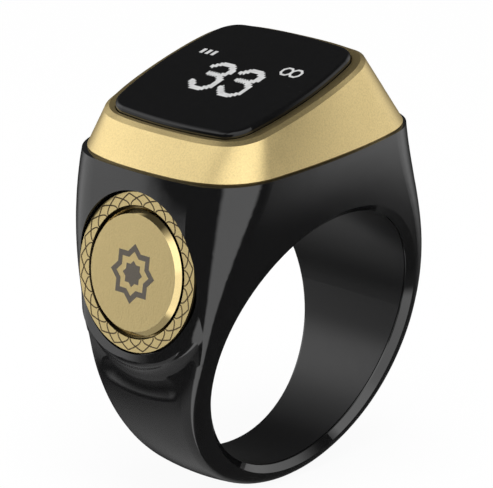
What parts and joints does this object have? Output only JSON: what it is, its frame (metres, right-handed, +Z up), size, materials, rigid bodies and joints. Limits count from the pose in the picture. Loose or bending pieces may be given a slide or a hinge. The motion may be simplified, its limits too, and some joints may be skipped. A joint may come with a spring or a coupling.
{
  "type": "digital tasbih counter",
  "caption": "Finger-ring tally counter: black signet body, satin gold bezel with a sloping screen, and a round push button on its side.",
  "frame": {"origin": "centre of the finger hole, half way along it", "axes": "+Y along the finger hole, +Z up through the screen, the button on the -X side"},
  "size_m": [0.0257, 0.0186, 0.0327],
  "materials": {
    "shell": "polished black",
    "liner": "satin black",
    "gold": "bead blasted and gold anodised",
    "cover_glass": "polished, printed black behind",
    "gasket": "matte",
    "panel": "polished",
    "flex": "amber film",
    "board": "solder mask",
    "chip": "moulded",
    "ceramic": "fired ceramic",
    "steel": "satin",
    "cell": "pouch foil",
    "tape": "foam tape",
    "contact": "plated",
    "silicone": "matte"
  },
  "bodies": {
    "ring": {"ring_shell": "shell", "inner_liner": "liner", "bezel": "gold", "screen_glass": "cover_glass", "glass_gasket": "gasket", "screen_panel": "panel", "panel_flex": "flex", "main_board": "board", "flex_connector": "chip", "bluetooth_chip": "chip", "charger_chip": "chip", "crystal": "steel", "chip_antenna": "ceramic", "vibration_motor": "steel", "battery": "cell", "battery_tape": "tape", "battery_tabs": "steel", "charge_contacts": "contact", "contact_carrier": "chip", "charge_flex": "flex", "trim_ring": "gold", "button_seal": "silicone", "switch_body": "chip", "switch_dome": "steel", "switch_flex": "flex"},
    "button": {"button_cap": "gold", "switch_plunger": "chip"}
  },
  "joints": [
    {"name": "button_press", "type": "slide", "parent": "ring", "child": "button", "axis": [0.9882, 0, -0.153], "range_m": [0, 0.00025], "stiffness_N_per_m": 2000, "deforming": ["button_seal", "switch_dome"]}
  ]
}
